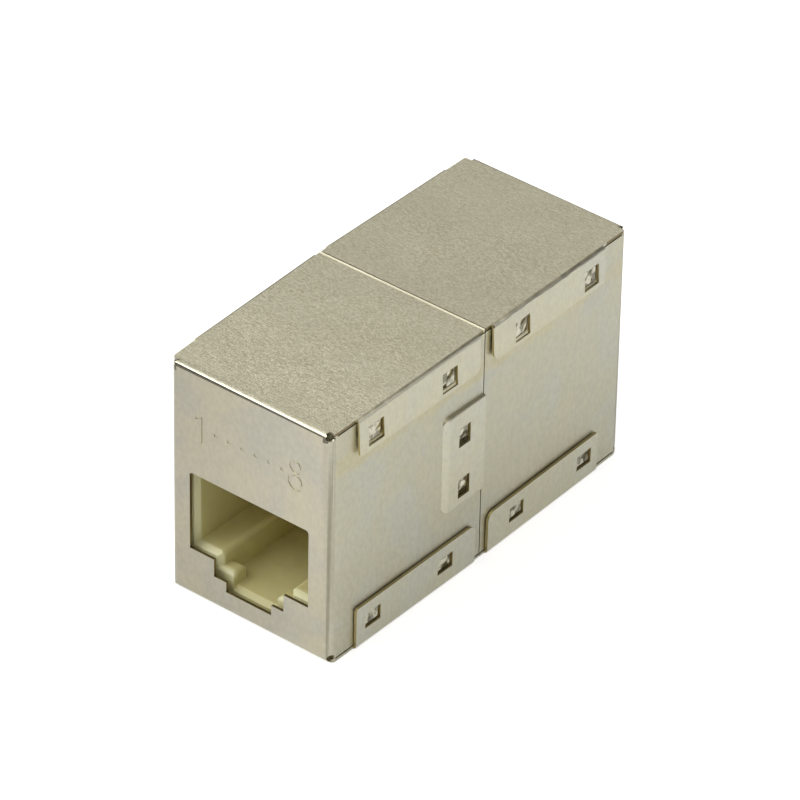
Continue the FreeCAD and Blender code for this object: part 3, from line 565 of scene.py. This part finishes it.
    def stain(self):
        """The mask of the yellow stains on the sides: a ragged one below each upper flap, fainter
        ones elsewhere."""
        patches = self.noise(scale=0.34, detail=2.0, roughness=0.5, distortion=0.4,
                             squeeze=(1.0, 1.0, 0.5))
        ragged = self.math("MULTIPLY_ADD", patches, STAIN_WANDER, self.z)
        below_flap = self.all_of(
            self.ramp(ragged, TOP_SKIN - STAIN_END, TOP_SKIN - STAIN_FADE),
            self.ramp(self.z, TOP_SKIN - STAIN_START, TOP_SKIN - STAIN_FULL),
        )
        return self.all_of(
            self.any_of(below_flap, self.ramp(patches, *STAIN_ALONE, end=0.35)),
            self.ramp(patches, *STAIN_THICKENS, start=0.3),
            self.outside(self.flat),
            self.outside(self.facing_port),
            self.outside(self.bend),
            self.outside(self.proud, 0.7),
        )

    def tone(self):
        """How light the plate is against its colour, near 1: by its flecks on the top and bottom,
        more so towards the port, by its mottle on the other panels, and by painted shade low on the
        front half and painted shade and light across the port's face."""
        calm = self.noise(scale=0.18, detail=2.0, roughness=0.5, distortion=0.6)
        liveliness = self.all_of(
            self.ramp(calm, *NOISE_CORE, start=CALM_SHARE),
            self.ramp(self.y, *TO_LIVELY_END, start=CALM_SHARE, end=PORT_SHARE),
        )
        swing = self.ramp(self.flecks, *FLECK_RANGE, start=-FLECK_SWING, end=FLECK_SWING)
        lively = self.math("MULTIPLY_ADD", swing, liveliness,
                           self.ramp(self.y, *TO_LIGHT_END, end=PORT_LIFT))
        mottle = self.noise(scale=2.6, detail=3.0, roughness=0.65, squeeze=(1.0, 1.0, 0.7))
        matt = self.ramp(mottle, *NOISE_SWING, start=-MOTTLE_SWING, end=MOTTLE_SWING)
        # Painted shade: darker towards the foot, mostly on the front half.
        shaded_low_front = self.all_of(self.ramp(self.z, *TO_FOOT),
                                self.ramp(self.y, *TO_FRONT_HALF, start=REAR_SHARE))
        # Painted shade at the left of the port's face and painted light at its right.
        across = self.all_of(self.facing_port,
                             self.ramp(self.x, *ACROSS_PORT, start=PORT_LEFT, end=PORT_RIGHT))
        for mask, amount in ((shaded_low_front, LOW_SHADE), (self.proud, FLAP_LIFT), (across, 1.0)):
            matt = self.math("MULTIPLY_ADD", mask, amount, matt)
        return self.math("ADD", self.mix_value(self.flat, matt, lively), 1.0)

    def roughness(self):
        """A satin that clouds over, and a polish on the bends and bumps."""
        clouded = self.ramp(self.clouds, *NOISE_SWING, start=SATIN_LOW, end=SATIN_HIGH)
        grain = self.ramp(self.fine, *NOISE_SWING, start=-GRAIN_SWING, end=GRAIN_SWING)
        shiny = self.all_of(self.any_of(self.polished_bend, self.bump_face),
                            self.outside(self.side_fold, 0.6))
        return self.math("MULTIPLY_ADD", shiny, -POLISH, self.math("ADD", clouded, grain))

    def relief(self):
        """Broad waves, brushed flecks, dents in the bumps and folds, the seam's lip and a grain."""
        waves = self.bump(self.noise(scale=0.11, detail=1.0, roughness=0.4),
                          strength=0.35, distance=0.6)
        brushed = self.bump(self.flecks, strength=self.math("MULTIPLY", self.flat, 0.45),
                            distance=0.02, under=waves)
        pressed = self.any_of(self.bump_face, self.math("MULTIPLY", self.side_fold, 0.25))
        dented = self.bump(self.noise(scale=0.75, detail=1.0, roughness=0.5),
                           strength=pressed, distance=0.8, under=brushed)
        rise = self.math("MULTIPLY", self.y, 1 / (SEAM_FAR - SEAM_NEAR))
        lipped = self.bump(rise, strength=self.seam, distance=SEAM_RISE, under=dented)
        return self.bump(self.fine, strength=0.12, distance=0.006, under=lipped)


def moulded_plastic(name, colour):
    """Satin moulded plastic with a fine spark-eroded grain and a little depth, with painted light
    that makes it paler round the port's mouth."""
    finish = Finish(name)
    _, y, z = finish.split(finish.place)
    depth = finish.math("SUBTRACT", PORT_FACE, finish.absolute(y))
    over_channel = finish.ramp(z, CHANNEL_FLOOR, CHANNEL_FLOOR + CHANNEL_RISE, start=0.2)
    # Where painted light makes the moulding paler round the port's mouth.
    mouth = finish.all_of(finish.ramp(depth, MOUTH_END, MOUTH_START), over_channel)
    shades = finish.noise(scale=0.35, detail=3.0, roughness=0.55, distortion=0.4)
    grain = finish.noise(scale=14.0, detail=3.0, roughness=0.6)
    finish.set("Base Color", finish.mix(mouth, finish.two_toned(shades, colour), MOUTH_LIGHT))
    finish.set("Roughness", finish.ramp(grain, *NOISE_SWING, start=0.42, end=0.54))
    finish.set("Subsurface Weight", 0.25)
    finish.set("Subsurface Radius", (1.0, 0.85, 0.45))
    finish.set("Subsurface Scale", 0.7 * MM)
    finish.set("Normal", finish.bump(grain, strength=0.10, distance=0.01))
    return finish.material


def board_laminate():
    """Green solder mask with tracks under it and bare glass laminate at the cut edges."""
    finish = Finish("board_laminate")
    _, normal_y, _ = finish.split(finish.normal)
    face = finish.ramp(finish.absolute(normal_y), *BOARD_FACING)
    waves = finish.node("ShaderNodeTexWave", wave_type="BANDS", bands_direction="X")
    for name, source in (("Vector", finish.place), ("Scale", 0.31), ("Distortion", 1.2),
                         ("Detail", 1.0)):
        finish.join(source, waves.inputs[name])
    track = finish.all_of(finish.ramp(waves.outputs["Fac"], *TRACK_RANGE), face)
    weave = finish.noise(scale=2.2, detail=2.0, roughness=0.5, squeeze=(3.0, 1.0, 3.0))
    mask = finish.paint(SOLDER_MASK, (
        (track, 1, TRACK),
        (finish.ramp(weave, *NOISE_CORE, end=0.35), 1, WEAVE),
    ))
    finish.set("Base Color", finish.mix(face, LAMINATE, mask))
    finish.set("Roughness", finish.ramp(weave, *NOISE_SWING, start=0.28, end=0.42))
    raised = finish.bump(track, strength=0.5, distance=0.03)
    finish.set("Normal", finish.bump(weave, strength=0.15, distance=0.01, under=raised))
    return finish.material


def drawn_wire():
    """Gold flash over drawn spring wire, with fine drawing lines along it."""
    finish = Finish("gold_wire")
    lines = finish.noise(scale=2.0, detail=3.0, roughness=0.6, squeeze=(14.0, 0.8, 6.0))
    worn = finish.noise(scale=0.8, detail=3.0, roughness=0.6, distortion=0.5)
    finish.set("Base Color", finish.two_toned(worn, GOLD))
    finish.set("Metallic", 1.0)
    finish.set("Roughness", finish.ramp(lines, *NOISE_SWING, start=0.20, end=0.34))
    finish.set("Normal", finish.bump(lines, strength=0.2, distance=0.004))
    return finish.material


def solder():
    """Tinned solder with a faint ripple."""
    finish = Finish("solder")
    ripple = finish.noise(scale=3.0, detail=3.0, roughness=0.55, distortion=0.3)
    finish.set("Base Color", finish.two_toned(ripple, TIN))
    finish.set("Metallic", 1.0)
    finish.set("Roughness", finish.ramp(ripple, *NOISE_SWING, start=0.18, end=0.32))
    finish.set("Normal", finish.bump(ripple, strength=0.2, distance=0.02))
    return finish.material


# Pieces

def dress(name, material, edge):
    """Give a solid its finish, and break its sharp edges by a width in millimetres."""
    piece = frame["nodes"][name]
    piece.data.materials.clear()
    piece.data.materials.append(material)
    weld = piece.modifiers.new("weld", "WELD")
    weld.merge_threshold = WELD_REACH * MM
    bevel = piece.modifiers.new("edges", "BEVEL")
    bevel.width = edge * MM
    bevel.segments = EDGE_SEGMENTS
    bevel.limit_method = "ANGLE"
    bevel.angle_limit = math.radians(SHARP_ANGLE)
    bevel.use_clamp_overlap = True
    bevel.harden_normals = True


def cone_ring(mesh, centre, radius, rise):
    """A ring of corners round a wire's tail, as far along Y from its centre as it rises."""
    ring = []
    for side in range(SOLDER_SIDES):
        turn = math.tau * side / SOLDER_SIDES
        offset = Vector((radius * math.cos(turn), rise, radius * math.sin(turn)))
        ring.append(mesh.verts.new(centre + offset * MM))
    return ring


def add_cone(mesh, centre, outwards):
    """One hollow-sided cone of solder, closed at its foot and at its tip."""
    rings = []
    for step in range(SOLDER_RINGS + 1):
        share = step / SOLDER_RINGS
        radius = SOLDER_TIP + (SOLDER_FOOT - SOLDER_TIP) * (1 - share) ** 2
        rings.append(cone_ring(mesh, centre, radius, outwards * SOLDER_HEIGHT * share))
    for lower, upper in zip(rings, rings[1:]):
        for i in range(SOLDER_SIDES):
            j = (i + 1) % SOLDER_SIDES
            mesh.faces.new((lower[i], lower[j], upper[j], upper[i]))
    mesh.faces.new(rings[0])
    mesh.faces.new(rings[-1])


def solder_joints(half, finish):
    """The cones of solder round one half's eight tails, on the board's far face. The tails come
    out of the board at its +Y face for the front half, at -Y for the rear."""
    outwards = 1 if half == "front" else -1
    board_low, board_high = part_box("circuit_board")
    board_face = board_high.y if outwards > 0 else board_low.y
    mesh = bmesh.new()
    for number in range(1, CONTACTS + 1):
        low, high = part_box(f"{half}_contact_{number}")
        centre = Vector(((low.x + high.x) / 2, board_face, high.z - TAIL_HALF * MM))
        add_cone(mesh, centre, outwards)
    bmesh.ops.recalc_face_normals(mesh, faces=mesh.faces)
    data = bpy.data.meshes.new(f"{half}_solder_joints")
    mesh.to_mesh(data)
    mesh.free()
    data.shade_smooth()
    data.materials.append(finish)
    piece = bpy.data.objects.new(data.name, data)
    bpy.context.scene.collection.objects.link(piece)
    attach(piece, "root")


# Stage

def direction(azimuth, elevation):
    """The unit vector towards a direction: azimuth 0 is in front of the port, 90 is at +X."""
    around = math.radians(azimuth)
    up = math.radians(elevation)
    return Vector((math.sin(around) * math.cos(up), -math.cos(around) * math.cos(up),
                   math.sin(up)))


def build_floor():
    """A plain pale floor that keeps the part's shadow."""
    half = FLOOR_HALF
    mesh = bpy.data.meshes.new("floor")
    mesh.from_pydata([(-half, -half, 0), (half, -half, 0), (half, half, 0), (-half, half, 0)],
                     [], [(0, 1, 2, 3)])
    floor = bpy.data.objects.new("floor", mesh)
    bpy.context.scene.collection.objects.link(floor)
    white = Material("floor_white")
    diffuse = white.node("ShaderNodeBsdfDiffuse")
    white.join(FLOOR_COLOUR, diffuse.inputs["Color"])
    path = white.node("ShaderNodeLightPath")
    strength = 0.0
    for ray, glow in FLOOR_GLOW:
        strength = white.math("MULTIPLY_ADD", path.outputs[ray], glow, strength)
    emission = white.node("ShaderNodeEmission")
    white.join(strength, emission.inputs["Strength"])
    total = white.node("ShaderNodeAddShader")
    white.join(diffuse.outputs[0], total.inputs[0])
    white.join(emission.outputs[0], total.inputs[1])
    white.join(total.outputs[0], white.surface)
    mesh.materials.append(white.material)


def build_world():
    """A pale sky, dim near the horizon as a studio's walls are, and white where the camera
    sees it."""
    world = bpy.data.worlds.new("sky")
    bpy.context.scene.world = world
    world.use_nodes = True
    sky = Nodes(world.node_tree)
    background = sky.tree.nodes["Background"]
    sky.join((1, 1, 1, 1), background.inputs["Color"])
    towards = sky.node("ShaderNodeTexCoord").outputs["Generated"]
    _, _, height = sky.split(towards)
    dome = sky.ramp(height, WALL_TOP, DOME_FOOT, start=WALL_LEVEL, end=DOME_LEVEL)
    nearness = sky.node("ShaderNodeVectorMath", operation="DOT_PRODUCT")
    sky.join(towards, nearness.inputs[0])
    sky.join(direction(SCREEN_AZIMUTH, SCREEN_ELEVATION), nearness.inputs[1])
    screen = sky.ramp(nearness.outputs["Value"], SCREEN_EDGE, SCREEN_MIDDLE,
                      start=1.0, end=SCREEN_LEVEL)
    seen = sky.node("ShaderNodeLightPath").outputs["Is Camera Ray"]
    level = sky.mix_value(seen, sky.math("MULTIPLY", dome, screen), 1.0)
    sky.join(level, background.inputs["Strength"])


def build_key_lamp():
    """A square lamp that faces the part. Its power gives its face the level asked for."""
    lamp = bpy.data.lights.new("key", "AREA")
    lamp.shape = "SQUARE"
    lamp.size = KEY_SIZE
    lamp.energy = KEY_LEVEL * math.pi * KEY_SIZE ** 2
    holder = bpy.data.objects.new("key", lamp)
    bpy.context.scene.collection.objects.link(holder)
    towards = direction(KEY_AZIMUTH, KEY_ELEVATION)
    holder.location = CAMERA_AIM + towards * KEY_DISTANCE
    holder.rotation_euler = towards.to_track_quat("Z", "Y").to_euler()


def build_camera():
    """The camera where the photograph was taken from."""
    camera = bpy.data.cameras.new("camera")
    camera.sensor_width = SENSOR_WIDTH
    camera.lens = FOCAL_PIXELS / IMAGE_PIXELS * SENSOR_WIDTH
    camera.clip_start = CLIP_START
    holder = bpy.data.objects.new("camera", camera)
    bpy.context.scene.collection.objects.link(holder)
    towards = direction(CAMERA_AZIMUTH, CAMERA_ELEVATION)
    turn = towards.to_track_quat("Z", "Y")
    roll = Quaternion((0, 0, 1), math.radians(CAMERA_ROLL))
    holder.location = CAMERA_AIM + towards * CAMERA_DISTANCE
    holder.rotation_euler = (turn @ roll).to_euler()
    bpy.context.scene.camera = holder


def main():
    finishes = {
        "plated_steel": PlatedSteel().material,
        "ivory_plastic": moulded_plastic("ivory_plastic", IVORY),
        "carrier_plastic": moulded_plastic("carrier_plastic", CARRIER),
        "board_laminate": board_laminate(),
        "gold_wire": drawn_wire(),
    }
    for part in frame["record"]["subparts"]:
        slot = part["material_slot"]
        dress(part["node"], finishes[slot], EDGE_WIDTHS[slot])
    tin = solder()
    for half in ("front", "rear"):
        solder_joints(half, tin)

    build_floor()
    build_world()
    build_key_lamp()
    build_camera()
    bpy.context.scene.view_settings.view_transform = "Standard"


main()
